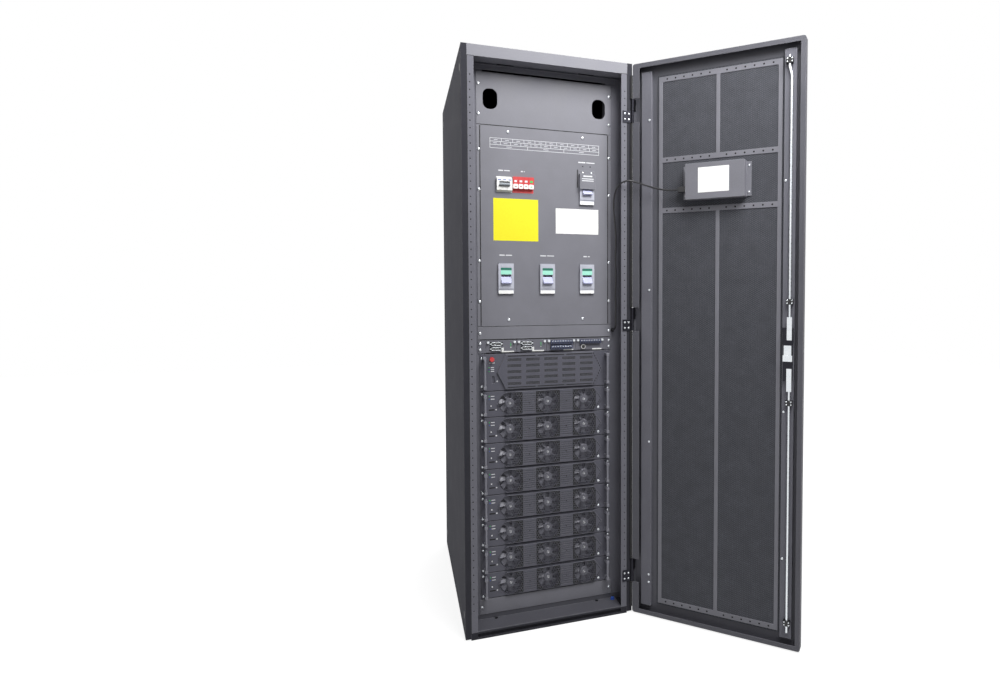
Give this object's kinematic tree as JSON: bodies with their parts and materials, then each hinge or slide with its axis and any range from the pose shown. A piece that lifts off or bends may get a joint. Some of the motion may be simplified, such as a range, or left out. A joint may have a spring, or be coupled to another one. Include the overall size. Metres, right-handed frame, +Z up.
{
  "type": "modular ups cabinet",
  "caption": "Tall steel power cabinet with an open perforated door, breaker panel, control cards and a stack of pull-out power modules with fans.",
  "frame": {"origin": "on the floor, at the middle of the cabinet's footprint without the door", "axes": "+Z up, the front and its door look along -Y, +X to the right seen from the front, hinges on the right"},
  "size_m": [1.0441, 1.2963, 2],
  "materials": {
    "cabinet_paint": "dark grey textured powder coat",
    "panel_paint": "grey powder coat",
    "module_paint": "dark grey paint",
    "zinc": "zinc plated",
    "mesh_paint": "perforated sheet, powder coated",
    "filter_cloth": "dark filter cloth",
    "black_plastic": "black plastic",
    "breaker_plastic": "pale grey plastic",
    "toggle_plastic": "blue-grey plastic",
    "white_plastic": "white plastic",
    "red_plastic": "red plastic",
    "fan_plastic": "dark grey plastic",
    "paper": "plain sheet",
    "screen_glass": "lit display glass",
    "cable_sheath": "black cable sheath"
  },
  "bodies": {
    "cabinet": {"base_frame": "cabinet_paint", "floor_tray": "cabinet_paint", "corner_posts": "cabinet_paint", "header": "cabinet_paint", "header_lip": "cabinet_paint", "header_lugs": "cabinet_paint", "roof_panel": "cabinet_paint", "side_panels": "cabinet_paint", "side_locks": "black_plastic", "rear_panels": "cabinet_paint", "rack_rails": "cabinet_paint", "cable_panel": "panel_paint", "breaker_chassis": "cabinet_paint", "breaker_panel": "panel_paint", "moulded_breakers": "breaker_plastic", "lockout_plate": "panel_paint", "maintenance_toggle": "toggle_plastic", "surge_breaker": "white_plastic", "surge_protector": "red_plastic", "paper_sheets": "paper", "blank_panels": "panel_paint", "card_cage": "cabinet_paint", "control_cards": "module_paint", "card_connectors": "black_plastic", "thumb_screws": "zinc", "card_pulls": "white_plastic", "power_modules": "module_paint", "fan_rotors": "fan_plastic", "bypass_module": "module_paint", "handle_bars": "module_paint", "handle_blocks": "black_plastic", "frame_hinges": "cabinet_paint", "cable_grommet": "cable_sheath", "display_cable": "cable_sheath"},
    "door": {"door_frame": "cabinet_paint", "door_mesh": "mesh_paint", "dust_filter": "filter_cloth", "filter_bars": "panel_paint", "door_stiffeners": "cabinet_paint", "display_bezel": "black_plastic", "display_screen": "screen_glass", "display_box": "cabinet_paint", "display_plug": "black_plastic", "door_hinges": "cabinet_paint", "handle_base": "black_plastic", "latch_box": "panel_paint", "latch_cover": "zinc", "rod_guides": "black_plastic"},
    "handle_hub": {"handle_hub": "zinc"},
    "handle_lever": {"handle_lever": "black_plastic", "handle_lock": "zinc"},
    "upper_rod": {"upper_rod": "zinc"},
    "lower_rod": {"lower_rod": "zinc"},
    "toggle_left": {"breaker_toggle_left": "toggle_plastic"},
    "toggle_middle": {"breaker_toggle_middle": "toggle_plastic"},
    "toggle_right": {"breaker_toggle_right": "toggle_plastic"},
    "surge_toggle": {"surge_toggle": "toggle_plastic"},
    "stop_button": {"stop_button": "red_plastic"}
  },
  "joints": [
    {"name": "door_swing", "type": "hinge", "parent": "cabinet", "child": "door", "pos_m": [0.3, -0.439, 0], "axis": [0, 0, 1], "range_deg": [-135, 25], "deforming": ["display_cable"]},
    {"name": "handle_turn", "type": "hinge", "parent": "door", "child": "handle_hub", "pos_m": [0.70942, -0.80882, 1.04], "axis": [0.7071, 0.7071, 0], "range_deg": [0, 90]},
    {"name": "handle_lift", "type": "hinge", "parent": "handle_hub", "child": "handle_lever", "pos_m": [0.71861, -0.79962, 1.04], "axis": [0.7071, -0.7071, 0], "range_deg": [0, 35]},
    {"name": "upper_rod_slide", "type": "slide", "parent": "door", "child": "upper_rod", "axis": [0, 0, 1], "range_m": [-0.014, 0]},
    {"name": "lower_rod_slide", "type": "slide", "parent": "door", "child": "lower_rod", "axis": [0, 0, 1], "range_m": [0, 0.014]},
    {"name": "toggle_left_flip", "type": "hinge", "parent": "cabinet", "child": "toggle_left", "pos_m": [-0.145, -0.3627, 1.23], "axis": [-1, 0, 0], "range_deg": [0, 78]},
    {"name": "toggle_middle_flip", "type": "hinge", "parent": "cabinet", "child": "toggle_middle", "pos_m": [0.003, -0.3627, 1.23], "axis": [-1, 0, 0], "range_deg": [0, 78]},
    {"name": "toggle_right_flip", "type": "hinge", "parent": "cabinet", "child": "toggle_right", "pos_m": [0.15, -0.3627, 1.23], "axis": [-1, 0, 0], "range_deg": [0, 78]},
    {"name": "surge_toggle_flip", "type": "hinge", "parent": "cabinet", "child": "surge_toggle", "pos_m": [-0.149, -0.3687, 1.558], "axis": [-1, 0, 0], "range_deg": [0, 32]},
    {"name": "stop_button_press", "type": "slide", "parent": "cabinet", "child": "stop_button", "axis": [0, 1, 0], "range_m": [0, 0.004], "stiffness_N_per_m": 500}
  ],
  "couplings": [
    {"joint": "upper_rod_slide", "follows": "handle_turn", "m_per_rad": -0.0089},
    {"joint": "lower_rod_slide", "follows": "handle_turn", "m_per_rad": 0.0089}
  ]
}
